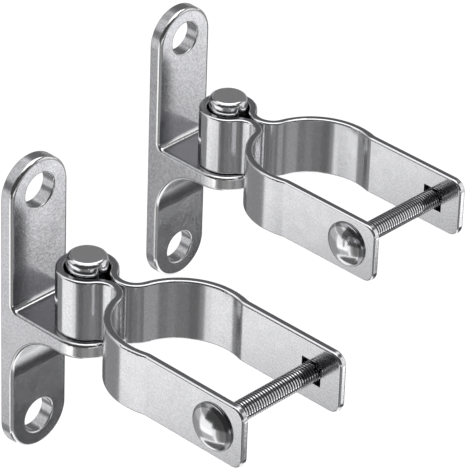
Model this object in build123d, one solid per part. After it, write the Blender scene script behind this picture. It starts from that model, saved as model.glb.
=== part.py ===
from build123d import *
import os
from math import atan2, cos, degrees, radians, sqrt, tan

# A pair of lift-off gate hinges, for a round gate tube of 50 mm (about 2 in).
# Each hinge is a bracket that bolts to the post, with an upright pin in its shelf, and a strap that turns on
# the pin and is clamped round the gate's tube by a carriage bolt through its two ears.
# Millimetres, +Z up. The origin is in the middle of the front bracket's back face, half way between its two
# holes. +X points out from the post. The two hinges are alike and stand side by side, the rear one lower.

# Place of the rear hinge, measured from the front one
REAR_SHIFT_X = -79.2
REAR_SHIFT_Y = 157.0
STRAP_DROP_GAP = 2.0  # the rear strap's top lies this far under the front strap's bottom

# Bracket
PLATE_LENGTH = 128.0
PLATE_WIDTH = 28.8
PLATE_THICKNESS = 6.0
PLATE_HOLE_DIAMETER = 14.3
PLATE_HOLE_INSET = 13.5  # end of the plate to the middle of its hole
SHELF_THICKNESS = 6.8
PIN_REACH = 25.5  # front of the plate to the pin's axis
COVE_RADIUS = 24.0  # sweep from the plate's front into the shelf's underside
CORNER_RADIUS = 2.5  # plate's front into the shelf's top
BRACKET_EDGE_RADIUS = 1.5
BACK_EDGE_RADIUS = 0.6
HOLE_EDGE_RADIUS = 0.6

# Pintle pin
PIN_DIAMETER = 15.9
PIN_PROUD = 5.0  # above the strap's barrel
PIN_TOP_RADIUS = 2.0
SPIGOT_DIAMETER = 11.0
SPIGOT_CLEARANCE = 0.02

# Strap, one strip bent round the pin and the gate's tube
STRIP_THICKNESS = 3.2
STRIP_WIDTH = 25.7
STRIP_EDGE_RADIUS = 0.9
BARREL_CLEARANCE = 0.8  # between pin and barrel, on the radius
SEAT_CLEARANCE = 0.2  # between shelf and barrel
TUBE_DIAMETER = 50.0
NECK_BEND_RADIUS = 6.5  # outside face of the strip, between barrel and clamp
NECK_GAP = 0.5
EAR_BEND_RADIUS = 4.5
EAR_CLOSE_IN = 1.3  # how far each ear lies inside the tube's side
EAR_REACH = 57.5  # tube's axis to the ears' ends
EAR_CORNER_RADIUS = 5.0
BOLT_REACH = 43.2  # tube's axis to the bolt
BOLT_HOLE_SIDE = 9.5

# Carriage bolt and nut
BOLT_DIAMETER = 8.0
BOLT_END_PAST_NUT = 2.4
BOLT_END_CHAMFER = 1.0
BOLT_NECK_CLEARANCE = 0.5
BOLT_NECK_LENGTH = 4.6
BOLT_HEAD_DIAMETER = 19.0
BOLT_HEAD_HEIGHT = 4.6
BOLT_HEAD_RIM = 0.8
NUT_ACROSS_FLATS = 13.0
NUT_HEIGHT = 6.8
NUT_CROWN_ANGLE = 30.0
NUT_FACE_SHARE = 0.95  # face of the nut over its width across flats
THREAD_CLEARANCE = 0.02

# Places that follow from the sizes
AXIS_X = PLATE_THICKNESS + PIN_REACH
SHELF_TOP = SHELF_THICKNESS / 2
PLATE_HOLE_SPACING = PLATE_LENGTH - 2 * PLATE_HOLE_INSET
STRAP_BOTTOM = SHELF_TOP + SEAT_CLEARANCE
BARREL_RADIUS = PIN_DIAMETER / 2 + BARREL_CLEARANCE
REAR_SHIFT_Z = -(STRIP_WIDTH + STRAP_DROP_GAP)

# Plan of the strap about the pin's axis, on the middle line of the strip
BARREL_LINE = BARREL_RADIUS + STRIP_THICKNESS / 2
CLAMP_LINE = TUBE_DIAMETER / 2 + STRIP_THICKNESS / 2
NECK_LINE = NECK_BEND_RADIUS + STRIP_THICKNESS / 2
EAR_LINE = EAR_BEND_RADIUS + STRIP_THICKNESS / 2
EAR_Y = CLAMP_LINE - EAR_CLOSE_IN
NECK_Y = NECK_LINE + (STRIP_THICKNESS + NECK_GAP) / 2
NECK_X = sqrt((BARREL_LINE + NECK_LINE) ** 2 - NECK_Y**2)
TUBE_X = NECK_X + sqrt((CLAMP_LINE + NECK_LINE) ** 2 - NECK_Y**2)
EAR_BEND_Y = EAR_Y + EAR_LINE
EAR_BEND_X = TUBE_X + sqrt((CLAMP_LINE + EAR_LINE) ** 2 - EAR_BEND_Y**2)
EAR_END_X = TUBE_X + EAR_REACH
EAR_OUTSIDE_Y = EAR_Y + STRIP_THICKNESS / 2
BOLT_X = TUBE_X + BOLT_REACH
BOLT_Z = STRIP_WIDTH / 2
BOLT_LENGTH = 2 * EAR_OUTSIDE_Y + NUT_HEIGHT + BOLT_END_PAST_NUT


def sharp_edges(solid):
    """Edges of a solid at which two faces meet at an angle, and don't run smoothly into each other."""
    edges = ShapeList()
    for edge in solid.edges():
        middle = edge @ 0.5
        normals = [face.normal_at(middle) for face in solid.faces() if edge in face.edges()]
        if len(normals) == 2 and abs(normals[0].dot(normals[1])) < cos(radians(30)):
            edges.append(edge)
    return edges


def make_bracket():
    """Post plate and pin shelf in one piece: the overlap of its side, front and plan outlines."""
    front_x = PLATE_THICKNESS
    half_length = PLATE_LENGTH / 2
    nose_x = AXIS_X + PLATE_WIDTH / 2
    side = Polyline(
        (front_x, half_length),
        (0, half_length),
        (0, -half_length),
        (front_x, -half_length),
        (front_x, -SHELF_TOP - COVE_RADIUS),
    )
    side += RadiusArc((front_x, -SHELF_TOP - COVE_RADIUS), (front_x + COVE_RADIUS, -SHELF_TOP), COVE_RADIUS)
    side += Polyline(
        (front_x + COVE_RADIUS, -SHELF_TOP),
        (nose_x, -SHELF_TOP),
        (nose_x, SHELF_TOP),
        (front_x + CORNER_RADIUS, SHELF_TOP),
    )
    side += RadiusArc((front_x + CORNER_RADIUS, SHELF_TOP), (front_x, SHELF_TOP + CORNER_RADIUS), CORNER_RADIUS)
    side += Line((front_x, SHELF_TOP + CORNER_RADIUS), (front_x, half_length))
    bracket = extrude(Plane.XZ * make_face(side), PLATE_WIDTH / 2, both=True)

    front = Plane.YZ * SlotOverall(PLATE_LENGTH, PLATE_WIDTH, rotation=90)
    plan = Pos(AXIS_X / 2, 0) * Rectangle(AXIS_X, PLATE_WIDTH) + Pos(AXIS_X, 0) * Circle(PLATE_WIDTH / 2)
    bracket &= extrude(front, nose_x)
    bracket &= extrude(plan, half_length, both=True)

    rims = sharp_edges(bracket)
    back_rim = rims.filter_by(lambda edge: (edge @ 0.5).X < BRACKET_EDGE_RADIUS)
    bracket = fillet(rims - back_rim, BRACKET_EDGE_RADIUS)
    back_rim = sharp_edges(bracket).filter_by(lambda edge: (edge @ 0.5).X < BRACKET_EDGE_RADIUS)
    bracket = fillet(back_rim, BACK_EDGE_RADIUS)

    for z in (-PLATE_HOLE_SPACING / 2, PLATE_HOLE_SPACING / 2):
        bracket -= Pos(0, 0, z) * extrude(Plane.YZ * Circle(PLATE_HOLE_DIAMETER / 2), PLATE_THICKNESS)
    hole_rims = bracket.edges().filter_by(GeomType.CIRCLE).filter_by_position(Axis.X, front_x, front_x)
    bracket = fillet(hole_rims, HOLE_EDGE_RADIUS)
    bore = Cylinder(SPIGOT_DIAMETER / 2 + SPIGOT_CLEARANCE, PLATE_LENGTH)
    return bracket - Pos(AXIS_X, 0) * bore


def make_pintle_pin():
    """Turned pin: its shoulder stands on the shelf, and a spigot goes down through the shelf."""
    height = SEAT_CLEARANCE + STRIP_WIDTH + PIN_PROUD
    pin = extrude(Circle(PIN_DIAMETER / 2), height)
    pin = fillet(pin.edges().group_by(Axis.Z)[-1], PIN_TOP_RADIUS)
    pin += extrude(Circle(SPIGOT_DIAMETER / 2), -SHELF_THICKNESS)
    return Pos(AXIS_X, 0, SHELF_TOP) * pin


def strap_line(offset):
    """Plan line of the strap, from one ear's end to the other's, at an offset out from the strip's middle."""
    neck_at_barrel = degrees(atan2(NECK_Y, NECK_X))
    neck_at_clamp = degrees(atan2(NECK_Y, NECK_X - TUBE_X))
    clamp_at_ear = degrees(atan2(EAR_BEND_Y, EAR_BEND_X - TUBE_X))
    barrel = CenterArc((0, 0), BARREL_LINE + offset, neck_at_barrel, 360 - 2 * neck_at_barrel)
    half = Curve() + CenterArc(
        (NECK_X, NECK_Y), NECK_LINE - offset, neck_at_barrel + 180, neck_at_clamp - neck_at_barrel
    )
    half += CenterArc((TUBE_X, 0), CLAMP_LINE + offset, neck_at_clamp, clamp_at_ear - neck_at_clamp)
    half += CenterArc((EAR_BEND_X, EAR_BEND_Y), EAR_LINE - offset, clamp_at_ear + 180, 90 - clamp_at_ear)
    half += Line((EAR_BEND_X, EAR_Y + offset), (EAR_END_X, EAR_Y + offset))
    return barrel + half + mirror(half, about=Plane.XZ)


def make_clamp_strap():
    """Folded strip: barrel round the pin, neck, clamp round the tube and two ears with square holes."""
    inside_y = EAR_Y - STRIP_THICKNESS / 2
    outline = strap_line(STRIP_THICKNESS / 2) + strap_line(-STRIP_THICKNESS / 2)
    for side in (-1, 1):
        outline += Line((EAR_END_X, side * inside_y), (EAR_END_X, side * EAR_OUTSIDE_Y))
    strap = extrude(make_face(outline), STRIP_WIDTH)
    ear_corners = strap.edges().filter_by(Axis.Y).filter_by_position(Axis.X, EAR_END_X, EAR_END_X)
    strap = fillet(ear_corners, EAR_CORNER_RADIUS)
    strap = fillet(sharp_edges(strap), STRIP_EDGE_RADIUS)
    hole = Box(BOLT_HOLE_SIDE, 2 * EAR_OUTSIDE_Y, BOLT_HOLE_SIDE)
    strap -= Pos(BOLT_X, 0, BOLT_Z) * hole
    return Pos(AXIS_X, 0, STRAP_BOTTOM) * strap


def place_on_bolt(piece):
    """Turns a piece made upright on the bolt's axis, head up, to lie across the ears with its head at -Y."""
    return Pos(AXIS_X + BOLT_X, 0, STRAP_BOTTOM + BOLT_Z) * Rot(90, 0, 0) * piece


def make_carriage_bolt():
    """Domed head, square neck in the near ear's hole and a round shank, plain at its thread's outer size."""
    rim = BOLT_HEAD_DIAMETER / 2
    head = Polyline((0, BOLT_HEAD_HEIGHT), (0, 0), (rim, 0), (rim, BOLT_HEAD_RIM))
    head += TangentArc((0, BOLT_HEAD_HEIGHT), (rim, BOLT_HEAD_RIM), tangent=(1, 0))
    bolt = revolve(Plane.XZ * make_face(head), Axis.Z)
    neck_side = BOLT_HOLE_SIDE - 2 * BOLT_NECK_CLEARANCE
    bolt += extrude(Rectangle(neck_side, neck_side), -BOLT_NECK_LENGTH)
    shank = extrude(Circle(BOLT_DIAMETER / 2), -BOLT_LENGTH)
    bolt += chamfer(shank.edges().group_by(Axis.Z)[0], BOLT_END_CHAMFER)
    return place_on_bolt(Pos(0, 0, EAR_OUTSIDE_Y) * bolt)


def make_hex_nut():
    """Hexagon nut on the far ear, its corners turned off to a crown on both faces."""
    corner = NUT_ACROSS_FLATS / sqrt(3)
    face = NUT_FACE_SHARE * NUT_ACROSS_FLATS / 2
    crown = (corner - face) * tan(radians(NUT_CROWN_ANGLE))
    blank = Polyline(
        (0, 0), (face, 0), (corner, crown), (corner, NUT_HEIGHT - crown), (face, NUT_HEIGHT), (0, NUT_HEIGHT),
        close=True,
    )
    hexagon = RegularPolygon(NUT_ACROSS_FLATS / 2, 6, major_radius=False)
    nut = revolve(Plane.XZ * make_face(blank), Axis.Z) & extrude(hexagon, NUT_HEIGHT)
    nut -= extrude(Circle(BOLT_DIAMETER / 2 + THREAD_CLEARANCE), NUT_HEIGHT)
    return place_on_bolt(Pos(0, 0, -EAR_OUTSIDE_Y - NUT_HEIGHT) * nut)


PIECES = {
    "bracket": make_bracket(),
    "pintle_pin": make_pintle_pin(),
    "clamp_strap": make_clamp_strap(),
    "carriage_bolt": make_carriage_bolt(),
    "hex_nut": make_hex_nut(),
}
HINGES = {"front": Pos(0, 0, 0), "rear": Pos(REAR_SHIFT_X, REAR_SHIFT_Y, REAR_SHIFT_Z)}

os.makedirs("parts", exist_ok=True)
for hinge, place in HINGES.items():
    for name, piece in PIECES.items():
        export_step(place * piece, f"parts/{hinge}_{name}.step")
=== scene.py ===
import math

import bmesh
import bpy
from mathutils import Matrix, Vector


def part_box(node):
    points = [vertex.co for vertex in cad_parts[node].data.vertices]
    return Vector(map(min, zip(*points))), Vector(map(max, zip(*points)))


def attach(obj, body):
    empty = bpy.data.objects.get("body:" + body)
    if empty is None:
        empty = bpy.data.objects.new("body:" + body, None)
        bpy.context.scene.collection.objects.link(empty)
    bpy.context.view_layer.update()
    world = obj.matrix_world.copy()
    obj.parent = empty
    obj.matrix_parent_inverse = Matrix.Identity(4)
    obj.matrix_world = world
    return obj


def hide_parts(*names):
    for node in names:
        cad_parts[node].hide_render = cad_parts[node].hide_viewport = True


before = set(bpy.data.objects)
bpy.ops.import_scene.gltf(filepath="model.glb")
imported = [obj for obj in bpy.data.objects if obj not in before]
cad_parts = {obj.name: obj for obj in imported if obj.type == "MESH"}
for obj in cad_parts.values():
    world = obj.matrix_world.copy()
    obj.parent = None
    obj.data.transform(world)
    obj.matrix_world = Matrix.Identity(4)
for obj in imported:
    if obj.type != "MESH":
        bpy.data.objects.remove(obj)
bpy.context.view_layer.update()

# Post brackets
# Each bracket is one steel casting: a tall plate with rounded ends that is bolted to the post, and a shelf
# that stands out of it. It was blasted, tumbled and zinc plated. Its rounded rims carry a painted highlight.
HINGES = ("front", "rear")
CASTING_COLOUR = "#c6c6c9"
CASTING_DULL_COLOUR = "#acacb0"
CASTING_SMOOTHEST, CASTING_ROUGHEST = 0.19, 0.25
CASTING_MOTTLE = 0.009
# Painted highlight: the rims' colour is lighter than the skin's, to stand in for their shine.
CASTING_RIM_HIGHLIGHT_COLOUR = "#fafafa"
CASTING_EDGE_ROUGHNESS = 0.13
# Blasting leaves a grain of about 0.2 mm. It is drawn coarser, because that is too fine to show.
CASTING_GRAIN = 0.0009
CASTING_GRAIN_DEPTH = 0.00004
CASTING_GRAIN_STRENGTH = 0.5
GRAIN_DETAIL = 3.0
# How far a rounded rim has turned from the side where its painted highlight starts, and where it is
# brightest.
RIM_STARTS, RIM_BRIGHT = 0.08, 0.35
# How far it has turned to the front where its painted highlight starts to fade, and where the flat front
# begins.
FRONT_STARTS, FRONT_FLAT = 0.80, 0.96
# Nearly all of a noise lies between these two levels.
NOISE_LOW, NOISE_HIGH = 0.3, 0.7
# A Mix node has other sockets for numbers than for colours.
NUMBER_A, NUMBER_B, MIXED_NUMBER = 2, 3, 0
COLOUR_A, COLOUR_B, MIXED_COLOUR = 6, 7, 2


def linear(hex_colour):
    """The linear colour of an sRGB hex value, with an alpha of 1."""
    levels = [int(hex_colour[start:start + 2], 16) / 255 for start in (1, 3, 5)]
    return [c / 12.92 if c <= 0.04045 else ((c + 0.055) / 1.055) ** 2.4 for c in levels] + [1.0]


def add_node(tree, kind, inputs=None, **settings):
    """Adds a node to a tree. inputs maps a socket to a value, or to the output that is linked to it."""
    node = tree.nodes.new(kind)
    for name, value in settings.items():
        setattr(node, name, value)
    for socket, value in (inputs or {}).items():
        if isinstance(value, bpy.types.NodeSocket):
            tree.links.new(value, node.inputs[socket])
        else:
            node.inputs[socket].default_value = value
    return node


def start_metal(name):
    """A new bare metal. Returns the material, its tree, its shader and its Texture Coordinate node."""
    material = bpy.data.materials.new(name)
    material.use_nodes = True
    tree = material.node_tree
    shader = tree.nodes["Principled BSDF"]
    shader.inputs["Metallic"].default_value = 1.0
    return material, tree, shader, add_node(tree, "ShaderNodeTexCoord")


def tumbled_cast_steel():
    """Zinc plated cast steel. The blasted skin scatters light in a fine even grain with soft cloudy patches.
    The rounded rims, which face neither straight ahead nor sideways, get a painted highlight in their
    colour."""
    material, tree, shader, place = start_metal("tumbled_cast_steel")
    grain = add_node(tree, "ShaderNodeTexNoise", {
        "Vector": place.outputs["Object"], "Scale": 1 / CASTING_GRAIN, "Detail": GRAIN_DETAIL})
    pits = add_node(tree, "ShaderNodeMapRange", {
        "Value": grain.outputs["Fac"], "From Min": NOISE_LOW, "From Max": NOISE_HIGH})
    skin = add_node(tree, "ShaderNodeMix", {
        "Factor": pits.outputs["Result"],
        COLOUR_A: linear(CASTING_DULL_COLOUR),
        COLOUR_B: linear(CASTING_COLOUR),
    }, data_type="RGBA")
    facing = add_node(tree, "ShaderNodeSeparateXYZ", {"Vector": place.outputs["Normal"]})
    off_side = add_node(tree, "ShaderNodeMapRange", {
        "Value": facing.outputs["X"], "From Min": RIM_STARTS, "From Max": RIM_BRIGHT})
    off_front = add_node(tree, "ShaderNodeMapRange", {
        "Value": facing.outputs["X"], "From Min": FRONT_FLAT, "From Max": FRONT_STARTS})
    # The rim mask, where the painted highlight goes.
    rim = add_node(tree, "ShaderNodeMath", {
        0: off_side.outputs["Result"], 1: off_front.outputs["Result"]}, operation="MULTIPLY")
    colour = add_node(tree, "ShaderNodeMix", {
        "Factor": rim.outputs["Value"],
        COLOUR_A: skin.outputs[MIXED_COLOUR],
        COLOUR_B: linear(CASTING_RIM_HIGHLIGHT_COLOUR),
    }, data_type="RGBA")
    tree.links.new(colour.outputs[MIXED_COLOUR], shader.inputs["Base Color"])
    mottle = add_node(tree, "ShaderNodeTexNoise", {
        "Vector": place.outputs["Object"], "Scale": 1 / CASTING_MOTTLE, "Detail": GRAIN_DETAIL})
    skin_roughness = add_node(tree, "ShaderNodeMapRange", {
        "Value": mottle.outputs["Fac"], "From Min": NOISE_LOW, "From Max": NOISE_HIGH,
        "To Min": CASTING_SMOOTHEST, "To Max": CASTING_ROUGHEST})
    roughness = add_node(tree, "ShaderNodeMix", {
        "Factor": rim.outputs["Value"],
        NUMBER_A: skin_roughness.outputs["Result"],
        NUMBER_B: CASTING_EDGE_ROUGHNESS,
    })
    tree.links.new(roughness.outputs[MIXED_NUMBER], shader.inputs["Roughness"])
    bump = add_node(tree, "ShaderNodeBump", {
        "Height": grain.outputs["Fac"], "Strength": CASTING_GRAIN_STRENGTH, "Distance": CASTING_GRAIN_DEPTH})
    tree.links.new(bump.outputs["Normal"], shader.inputs["Normal"])
    return material


cast_steel = tumbled_cast_steel()
for hinge in HINGES:
    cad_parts[hinge + "_bracket"].material_slots[0].material = cast_steel

# Pintle pins
# Each pin is turned from bright steel bar, with a rounded end, and pressed into the shelf. The tool's rings
# are too fine to show, and only take the edge off a clear reflection.
PIN_COLOUR = "#e6e6e8"
PIN_SMOOTHEST, PIN_ROUGHEST = 0.12, 0.18
# The rings are drawn as an even haze, coarser than they are.
PIN_HAZE = 0.0003
HAZE_DETAIL = 2.0


def turned_steel():
    """Bright turned steel: nearly a mirror, a little hazed by the tool's fine rings."""
    material, tree, shader, place = start_metal("turned_steel")
    shader.inputs["Base Color"].default_value = linear(PIN_COLOUR)
    haze = add_node(tree, "ShaderNodeTexNoise", {
        "Vector": place.outputs["Object"], "Scale": 1 / PIN_HAZE, "Detail": HAZE_DETAIL})
    roughness = add_node(tree, "ShaderNodeMapRange", {
        "Value": haze.outputs["Fac"], "From Min": NOISE_LOW, "From Max": NOISE_HIGH,
        "To Min": PIN_SMOOTHEST, "To Max": PIN_ROUGHEST})
    tree.links.new(roughness.outputs["Result"], shader.inputs["Roughness"])
    return material


pin_steel = turned_steel()
for hinge in HINGES:
    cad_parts[hinge + "_pintle_pin"].material_slots[0].material = pin_steel

# Clamp straps
# Each strap is one strip of rolled steel, bent round the pin and round the gate's tube, with square holes in
# its two ears. It keeps the satin skin of the rolling mill, and its edges were rounded. Their rims carry a
# painted highlight, and the flat middle of each edge painted shade.
STRIP_COLOUR = "#d9d9db"
STRIP_DULL_COLOUR = "#c8c8cb"
STRIP_SMOOTHEST, STRIP_ROUGHEST = 0.13, 0.18
STRIP_CLOUD = 0.006
# Painted highlight: the rounded rims' colour is lighter than the skin's.
STRIP_RIM_HIGHLIGHT_COLOUR = "#ececee"
# Painted shade: the flat middle of each edge is coloured darker.
STRIP_FLAT_EDGE_SHADE_COLOUR = "#a9a9ad"
# How far the edge has turned upwards where the painted shade on its flat middle starts, and where it is
# full.
EDGE_SHADE_STARTS, EDGE_SHADE_FULL = 0.90, 0.98
# A rolled skin's grain is finer than a pixel of the render. It is drawn coarser, so that it shows.
STRIP_GRAIN = 0.0007
STRIP_GRAIN_DEPTH = 0.00002
STRIP_GRAIN_STRENGTH = 0.4


def rolled_strip_steel():
    """Zinc plated rolled strip: a satin skin with soft reflections and a very fine grain. Its rounded edges
    get a painted highlight, and the flat middle of an edge, facing up or down, gets painted shade."""
    material, tree, shader, place = start_metal("rolled_strip_steel")
    grain = add_node(tree, "ShaderNodeTexNoise", {
        "Vector": place.outputs["Object"], "Scale": 1 / STRIP_GRAIN, "Detail": GRAIN_DETAIL})
    pits = add_node(tree, "ShaderNodeMapRange", {
        "Value": grain.outputs["Fac"], "From Min": NOISE_LOW, "From Max": NOISE_HIGH})
    skin = add_node(tree, "ShaderNodeMix", {
        "Factor": pits.outputs["Result"],
        COLOUR_A: linear(STRIP_DULL_COLOUR),
        COLOUR_B: linear(STRIP_COLOUR),
    }, data_type="RGBA")
    facing = add_node(tree, "ShaderNodeSeparateXYZ", {"Vector": place.outputs["Normal"]})
    upwards = add_node(tree, "ShaderNodeMath", {0: facing.outputs["Z"]}, operation="ABSOLUTE")
    rim = add_node(tree, "ShaderNodeMapRange", {
        "Value": upwards.outputs["Value"], "From Min": RIM_STARTS, "From Max": RIM_BRIGHT})
    # Painted highlight on the rims.
    rounded = add_node(tree, "ShaderNodeMix", {
        "Factor": rim.outputs["Result"],
        COLOUR_A: skin.outputs[MIXED_COLOUR],
        COLOUR_B: linear(STRIP_RIM_HIGHLIGHT_COLOUR),
    }, data_type="RGBA")
    # Painted shade on the flat middle of each edge, facing up or down.
    edge_shade = add_node(tree, "ShaderNodeMapRange", {
        "Value": upwards.outputs["Value"], "From Min": EDGE_SHADE_STARTS, "From Max": EDGE_SHADE_FULL})
    colour = add_node(tree, "ShaderNodeMix", {
        "Factor": edge_shade.outputs["Result"],
        COLOUR_A: rounded.outputs[MIXED_COLOUR],
        COLOUR_B: linear(STRIP_FLAT_EDGE_SHADE_COLOUR),
    }, data_type="RGBA")
    tree.links.new(colour.outputs[MIXED_COLOUR], shader.inputs["Base Color"])
    cloud = add_node(tree, "ShaderNodeTexNoise", {
        "Vector": place.outputs["Object"], "Scale": 1 / STRIP_CLOUD, "Detail": GRAIN_DETAIL})
    roughness = add_node(tree, "ShaderNodeMapRange", {
        "Value": cloud.outputs["Fac"], "From Min": NOISE_LOW, "From Max": NOISE_HIGH,
        "To Min": STRIP_SMOOTHEST, "To Max": STRIP_ROUGHEST})
    tree.links.new(roughness.outputs["Result"], shader.inputs["Roughness"])
    bump = add_node(tree, "ShaderNodeBump", {
        "Height": grain.outputs["Fac"], "Strength": STRIP_GRAIN_STRENGTH, "Distance": STRIP_GRAIN_DEPTH})
    tree.links.new(bump.outputs["Normal"], shader.inputs["Normal"])
    return material


strip_steel = rolled_strip_steel()
for hinge in HINGES:
    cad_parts[hinge + "_clamp_strap"].material_slots[0].material = strip_steel

# Carriage bolts
# Each bolt has a domed head, a square neck that sits in the ear's square hole, and a rolled thread to its
# end. It draws the two ears together round the gate's tube. It was forged cold, polished and zinc plated.
BOLT_COLOUR = "#e8e8ea"
BOLT_SMOOTHEST, BOLT_ROUGHEST = 0.13, 0.19
BOLT_HAZE = 0.002
# Painted shade: the thread's grooves and the head's rim are coloured darker.
GROOVE_SHADE_COLOUR = "#a6a6aa"
DULL_SMOOTHEST, DULL_ROUGHEST = 0.15, 0.24
DULL_HAZE = 0.001
HEAD_HEIGHT = 0.0046
HEAD_RIM = 0.0008
HEAD_RIM_ROUNDING = 0.00025
HEAD_RIM_SEGMENTS = 2
HEAD_STEPS = 64
DOME_STEPS = 12
# Share of the head's radius that keeps the bright steel; the rim outside it gets painted shade.
UNSHADED_HEAD_SHARE = 0.87
NECK_SIDE = 0.0085
NECK_LENGTH = 0.0046
NECK_ROUNDING = 0.0004
NECK_SEGMENTS = 3
THREAD_RADIUS = 0.004
THREAD_PITCH = 0.00125
THREAD_DEPTH = 0.6134 * THREAD_PITCH
# A real crest is an eighth of the pitch. It is drawn wider, because that is too fine to show.
CREST_WIDTH = 0.40 * THREAD_PITCH
ROOT_WIDTH = 0.16 * THREAD_PITCH
TIP_CHAMFER = 0.001
STEPS_PER_TURN = 36
OVERLAP = 0.0005
MERGE_DISTANCE = 0.000002
CUT_DISTANCE = 0.0000001
SHARP_ANGLE = math.radians(32)


def polished_steel():
    """Polished plated steel: a mirror with only the faintest haze."""
    material, tree, shader, place = start_metal("polished_steel")
    shader.inputs["Base Color"].default_value = linear(BOLT_COLOUR)
    haze = add_node(tree, "ShaderNodeTexNoise", {
        "Vector": place.outputs["Object"], "Scale": 1 / BOLT_HAZE, "Detail": HAZE_DETAIL})
    roughness = add_node(tree, "ShaderNodeMapRange", {
        "Value": haze.outputs["Fac"], "From Min": NOISE_LOW, "From Max": NOISE_HIGH,
        "To Min": BOLT_SMOOTHEST, "To Max": BOLT_ROUGHEST})
    tree.links.new(roughness.outputs["Result"], shader.inputs["Roughness"])
    return material


def painted_shade_steel():
    """Darker plated steel, a painted shade for the thread's grooves and the rim of the head."""
    material, tree, shader, place = start_metal("painted_shade_steel")
    shader.inputs["Base Color"].default_value = linear(GROOVE_SHADE_COLOUR)
    haze = add_node(tree, "ShaderNodeTexNoise", {
        "Vector": place.outputs["Object"], "Scale": 1 / DULL_HAZE, "Detail": HAZE_DETAIL})
    roughness = add_node(tree, "ShaderNodeMapRange", {
        "Value": haze.outputs["Fac"], "From Min": NOISE_LOW, "From Max": NOISE_HIGH,
        "To Min": DULL_SMOOTHEST, "To Max": DULL_ROUGHEST})
    tree.links.new(roughness.outputs["Result"], shader.inputs["Roughness"])
    return material


def add_object(name, mesh):
    """Turns a bmesh into a smooth-shaded object of the scene, with its corners kept sharp."""
    data = bpy.data.meshes.new(name)
    for face in mesh.faces:
        face.smooth = True
    mesh.to_mesh(data)
    mesh.free()
    data.set_sharp_from_angle(angle=SHARP_ANGLE)
    thing = bpy.data.objects.new(name, data)
    bpy.context.scene.collection.objects.link(thing)
    return thing


def add_bolt_head(mesh, radius):
    """Domed head, standing on the ear at height 0: its half outline, turned about the bolt's axis."""
    dome_height = HEAD_HEIGHT - HEAD_RIM
    dome_radius = (radius ** 2 + dome_height ** 2) / (2 * dome_height)
    top = mesh.verts.new((0, 0, HEAD_HEIGHT))
    made = bmesh.ops.spin(mesh, geom=[top], cent=(0, 0, HEAD_HEIGHT - dome_radius), axis=(0, 1, 0),
                          angle=math.asin(radius / dome_radius), steps=DOME_STEPS)
    rim_top = [v for v in made["geom_last"] if isinstance(v, bmesh.types.BMVert)][0]
    rim_foot = mesh.verts.new((radius, 0, 0))
    middle = mesh.verts.new((0, 0, 0))
    mesh.edges.new((rim_top, rim_foot))
    mesh.edges.new((rim_foot, middle))
    bmesh.ops.spin(mesh, geom=mesh.verts[:] + mesh.edges[:], cent=(0, 0, 0), axis=(0, 0, 1),
                   angle=2 * math.pi, steps=HEAD_STEPS, use_merge=True)
    bmesh.ops.remove_doubles(mesh, verts=mesh.verts, dist=MERGE_DISTANCE)
    rims = [e for e in mesh.edges if all(v.co.xy.length > radius - MERGE_DISTANCE for v in e.verts)
            and abs(e.verts[0].co.z - e.verts[1].co.z) < MERGE_DISTANCE]
    bmesh.ops.bevel(mesh, geom=rims, offset=HEAD_RIM_ROUNDING, affect="EDGES", segments=HEAD_RIM_SEGMENTS,
                    profile=0.5, material=-1)


def add_bolt_neck(mesh, length):
    """Square neck under the head, its four corners a little rounded. Its top is hidden in the head."""
    made = bmesh.ops.create_cube(mesh, size=1.0)["verts"]
    bmesh.ops.scale(mesh, vec=(NECK_SIDE, NECK_SIDE, length + OVERLAP), verts=made)
    bmesh.ops.translate(mesh, vec=(0, 0, (OVERLAP - length) / 2), verts=made)
    corners = [e for e in mesh.edges if abs(e.verts[0].co.z - e.verts[1].co.z) > length / 2]
    bmesh.ops.bevel(mesh, geom=corners, offset=NECK_ROUNDING, affect="EDGES", segments=NECK_SEGMENTS,
                    profile=0.5, material=-1)


def add_thread(mesh, length):
    """Rolled thread from inside the neck to the bolt's end: one pitch of its outline, wound round the axis,
    then cut off flat at both ends and chamfered at the tip."""
    root = THREAD_RADIUS - THREAD_DEPTH
    flank = (THREAD_PITCH - CREST_WIDTH - ROOT_WIDTH) / 2
    start = -length - THREAD_PITCH
    outline = [(root, 0), (root, ROOT_WIDTH / 2), (THREAD_RADIUS, ROOT_WIDTH / 2 + flank),
               (THREAD_RADIUS, ROOT_WIDTH / 2 + flank + CREST_WIDTH), (root, THREAD_PITCH - ROOT_WIDTH / 2),
               (root, THREAD_PITCH)]
    verts = [mesh.verts.new((radius, 0, start + height)) for radius, height in outline]
    edges = [mesh.edges.new(pair) for pair in zip(verts, verts[1:])]
    bmesh.ops.spin(mesh, geom=verts + edges, cent=(0, 0, 0), axis=(0, 0, 1),
                   dvec=(0, 0, THREAD_PITCH / STEPS_PER_TURN), angle=2 * math.pi, steps=STEPS_PER_TURN)
    turn = mesh.verts[:] + mesh.edges[:] + mesh.faces[:]
    for number in range(1, math.ceil(length / THREAD_PITCH)):
        next_turn = bmesh.ops.duplicate(mesh, geom=turn)["geom"]
        bmesh.ops.translate(mesh, vec=(0, 0, number * THREAD_PITCH),
                            verts=[v for v in next_turn if isinstance(v, bmesh.types.BMVert)])
    bmesh.ops.remove_doubles(mesh, verts=mesh.verts, dist=MERGE_DISTANCE)
    for height, outwards in ((-length, -1), (-NECK_LENGTH + OVERLAP, 1)):
        bmesh.ops.bisect_plane(mesh, geom=mesh.verts[:] + mesh.edges[:] + mesh.faces[:], dist=CUT_DISTANCE,
                               plane_co=(0, 0, height), plane_no=(0, 0, outwards), clear_outer=True)
    for vert in mesh.verts:
        cone = THREAD_RADIUS - TIP_CHAMFER + (vert.co.z + length)
        radius = vert.co.xy.length
        if radius > cone:
            vert.co.x *= cone / radius
            vert.co.y *= cone / radius
    bmesh.ops.holes_fill(mesh, edges=[e for e in mesh.edges if e.is_boundary], sides=0)


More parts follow.
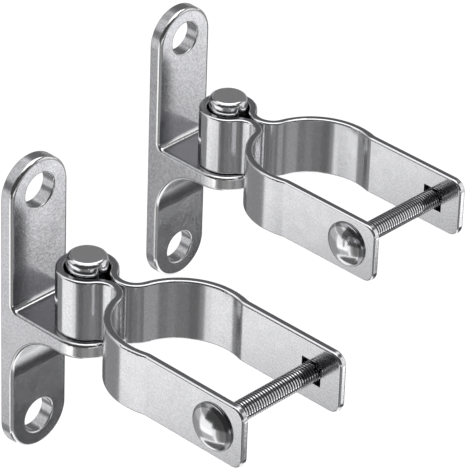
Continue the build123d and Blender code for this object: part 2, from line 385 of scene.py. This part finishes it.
def carriage_bolt(name, low, high):
    """One bolt, made upright with its head on top, then laid along Y in the box that its solid fills."""
    length = high.y - low.y - HEAD_HEIGHT
    head_radius = (high.x - low.x) / 2
    # Each part with its size, and the distances from the axis between which its faces keep the bright steel.
    # The rest get painted shade.
    parts = (
        (add_bolt_head, head_radius, 0, UNSHADED_HEAD_SHARE * head_radius),
        (add_bolt_neck, NECK_LENGTH, 0, NECK_SIDE),
        (add_thread, length, THREAD_RADIUS - MERGE_DISTANCE, NECK_SIDE),
    )
    whole = bmesh.new()
    for add_part, size, unshaded_from, unshaded_to in parts:
        piece = bmesh.new()
        add_part(piece, size)
        bmesh.ops.recalc_face_normals(piece, faces=piece.faces)
        for face in piece.faces:
            # Faces outside these distances get the painted shade.
            polished = all(unshaded_from <= v.co.xy.length <= unshaded_to for v in face.verts)
            face.material_index = 0 if polished else 1
        part = bpy.data.meshes.new("bolt_part")
        piece.to_mesh(part)
        piece.free()
        whole.from_mesh(part)
        bpy.data.meshes.remove(part)
    place = Vector(((low.x + high.x) / 2, low.y + HEAD_HEIGHT, (low.z + high.z) / 2))
    bmesh.ops.transform(whole, matrix=Matrix.Translation(place) @ Matrix.Rotation(math.radians(90), 4, "X"),
                        verts=whole.verts)
    return add_object(name, whole)


bolt_steel = polished_steel()
shaded_steel = painted_shade_steel()
for hinge in HINGES:
    bolt = carriage_bolt(hinge + "_threaded_bolt", *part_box(hinge + "_carriage_bolt"))
    bolt.data.materials.append(bolt_steel)
    bolt.data.materials.append(shaded_steel)
    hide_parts(hinge + "_carriage_bolt")
    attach(bolt, hinge + "_strap")

# Hex nuts
# Each nut is a plain hexagon on the bolt's end, tightened against the outside of the far ear. It is cold
# forged, polished and zinc plated like the bolt.
for hinge in HINGES:
    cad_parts[hinge + "_hex_nut"].material_slots[0].material = bolt_steel

# Floor
# A wide sheet of pale paper, far below, because the hinges stand clear of any surface and cast no shadow on
# one. It glows a little, so that it looks as white as the tent.
FLOOR_COLOUR = "#e7e7e7"
FLOOR_ROUGHNESS = 1.0
FLOOR_GLOW = 0.25
FLOOR_HEIGHT = -1.3
FLOOR_SIZE = 12.0
WHITE = "#ffffff"

floor_mesh = bmesh.new()
bmesh.ops.create_grid(floor_mesh, x_segments=1, y_segments=1, size=FLOOR_SIZE / 2)
bmesh.ops.translate(floor_mesh, vec=(0, 0, FLOOR_HEIGHT), verts=floor_mesh.verts)
floor = add_object("floor", floor_mesh)
paper = bpy.data.materials.new("white_paper")
paper.use_nodes = True
paper_shader = paper.node_tree.nodes["Principled BSDF"]
paper_shader.inputs["Base Color"].default_value = linear(FLOOR_COLOUR)
paper_shader.inputs["Roughness"].default_value = FLOOR_ROUGHNESS
paper_shader.inputs["Emission Color"].default_value = linear(WHITE)
paper_shader.inputs["Emission Strength"].default_value = FLOOR_GLOW
floor.data.materials.append(paper)

# Tent
# A round tent of white cloth lights the hinges from all sides. Darker and lighter panels hang in it, where
# only the metal sees them, because bare metal shows its shape by what it mirrors.
TENT_BRIGHTNESS = 1.0
TENT_RADIUS = 1.2
PANEL_STEPS_UP = 12
PANEL_STEPS_ROUND = 24
CAMERA_BEARING = 43.098
CAMERA_AIM = Vector((0.05826, 0.05062, 0.03327))
# Each panel's name, the bearings of its left and right ends, counted from the camera's to the right, the
# heights of its foot and its head, all in degrees, and its brightness, where 1 is the tent's white.
TENT_PANELS = (
    ("flag_left_high", -140, -78, 0, 20, 0.35),
    ("flag_left_top", -78, -50, -3, 50, 0.06),
    ("flag_camera_high", -50, 4, -14, 62, 0.06),
    ("flag_camera_right_high", 4, 60, -4, 62, 0.06),
    ("flag_right_high", 60, 80, 0, 45, 0.12),
    ("flag_far_right_high", 80, 124, 12, 35.5, 0.85),
    ("flag_far_right_top", 80, 124, 35.5, 62, 0.12),
    ("flag_back", 124, 240, 3, 46, 0.22),
    ("flag_left_low", -180, -95, -51, -23, 0.33),
    ("flag_left_middle", -180, -95, -23, -3, 0.50),
    ("flag_right_low", 112, 180, -51, -23, 0.12),
    ("flag_right_middle", 112, 180, -23, 0, 0.35),
    ("flag_floor", -125, -20, -84, -56, 0.12),
    ("panel_right_low", 82, 96.5, -34.8, -23, 1.9),
    ("panel_far_right_low", 96.5, 112, -31.8, -23, 1.9),
    ("panel_right_middle", 82, 112, -23, 0, 0.80),
    ("flag_right_floor", 82, 96.5, -58, -34.8, 0.05),
    ("flag_far_right_floor", 96.5, 112, -58, -31.8, 0.05),
    ("panel_left_low", -95, -50, -35.4, -23, 1.30),
    ("panel_left_middle", -95, -50, -23, -3, 1.10),
    ("panel_left_floor", -95, -50, -51, -35.4, 0.50),
    ("flag_camera_low_0", -39, -30, -51, -14, 0.32),
    ("flag_camera_low_1", -30, -13, -51, -14, 0.18),
    ("flag_camera_low_2", -13, 8, -51, -14, 0.24),
    ("flag_camera_low_3", 8, 22, -51, -14, 0.30),
    ("flag_camera_low_4", 22, 38, -51, -14, 0.24),
    ("flag_camera_low_5", 38, 62, -51, -14, 0.42),
    ("flag_camera_low_6", 62, 82, -51, -14, 0.22),
)


def heading(bearing, height):
    """The direction that lies at a bearing to the right of the camera's, and at a height, in degrees."""
    turn, rise = math.radians(CAMERA_BEARING + bearing), math.radians(height)
    return Vector((math.sin(turn) * math.cos(rise), -math.cos(turn) * math.cos(rise), math.sin(rise)))


def hang_panel(name, left, right, low, high, brightness):
    """Hangs one panel in the tent. It gives no light and no shadow: only reflections see it."""
    mesh = bmesh.new()
    corner = mesh.verts.new(CAMERA_AIM + TENT_RADIUS * heading(left, low))
    bmesh.ops.spin(mesh, geom=[corner], cent=CAMERA_AIM, axis=-heading(left + 90, 0),
                   angle=math.radians(high - low), steps=PANEL_STEPS_UP)
    bmesh.ops.spin(mesh, geom=mesh.verts[:] + mesh.edges[:], cent=CAMERA_AIM, axis=(0, 0, 1),
                   angle=math.radians(right - left), steps=PANEL_STEPS_ROUND)
    panel = add_object(name, mesh)
    cloth = bpy.data.materials.new(name + "_cloth")
    cloth.use_nodes = True
    tree = cloth.node_tree
    glow = add_node(tree, "ShaderNodeEmission", {"Color": linear(WHITE), "Strength": brightness})
    tree.links.new(glow.outputs["Emission"], tree.nodes["Material Output"].inputs["Surface"])
    panel.data.materials.append(cloth)
    panel.visible_camera = False
    panel.visible_diffuse = False
    panel.visible_shadow = False


tent = bpy.data.worlds.new("tent")
tent.use_nodes = True
tent_cloth = tent.node_tree.nodes["Background"]
tent_cloth.inputs["Color"].default_value = linear(WHITE)
tent_cloth.inputs["Strength"].default_value = TENT_BRIGHTNESS
bpy.context.scene.world = tent
for tent_panel in TENT_PANELS:
    hang_panel(*tent_panel)

# Soft box
# One square lamp behind white cloth hangs high over the hinges, a little behind them. It adds a soft shine
# to what faces up.
SOFT_BOX_BEARING = 180
SOFT_BOX_HEIGHT = 75
SOFT_BOX_DISTANCE = 1.0
SOFT_BOX_SIDE = 0.9
SOFT_BOX_WATTS = 2.0358

lamp = bpy.data.lights.new("soft_box_top", "AREA")
lamp.shape = "RECTANGLE"
lamp.size = SOFT_BOX_SIDE
lamp.size_y = SOFT_BOX_SIDE
lamp.energy = SOFT_BOX_WATTS
soft_box = bpy.data.objects.new("soft_box_top", lamp)
bpy.context.scene.collection.objects.link(soft_box)
overhead = heading(SOFT_BOX_BEARING, SOFT_BOX_HEIGHT)
lamp_turn = overhead.to_track_quat("Z", "Y").to_matrix().to_4x4()
soft_box.matrix_world = Matrix.Translation(CAMERA_AIM + SOFT_BOX_DISTANCE * overhead) @ lamp_turn
soft_box.visible_camera = False

# Camera
# It looks from where the photo was taken, far off through a long lens, and leans two degrees to one side.
# Its place, lens and lean were fitted to edges of the hinges in the photo.
CAMERA_HEIGHT = 32.019
CAMERA_ROLL = 2.065
CAMERA_DISTANCE = 1.46076
CAMERA_LENS = 300.0
CAMERA_REACH = 50.0
SENSOR_WIDTH = 36.0

towards_camera = heading(0, CAMERA_HEIGHT)
level = heading(90, 0)
upright = towards_camera.cross(level)
roll = math.radians(CAMERA_ROLL)
camera_right = math.cos(roll) * level + math.sin(roll) * upright
camera_up = math.cos(roll) * upright - math.sin(roll) * level
lens = bpy.data.cameras.new("camera")
lens.lens = CAMERA_LENS
lens.sensor_width = SENSOR_WIDTH
lens.sensor_fit = "HORIZONTAL"
lens.clip_end = CAMERA_REACH
camera = bpy.data.objects.new("camera", lens)
bpy.context.scene.collection.objects.link(camera)
camera_turn = Matrix((camera_right, camera_up, towards_camera)).transposed().to_4x4()
camera.matrix_world = Matrix.Translation(CAMERA_AIM + CAMERA_DISTANCE * towards_camera) @ camera_turn
bpy.context.scene.camera = camera
bpy.context.scene.view_settings.view_transform = "Standard"
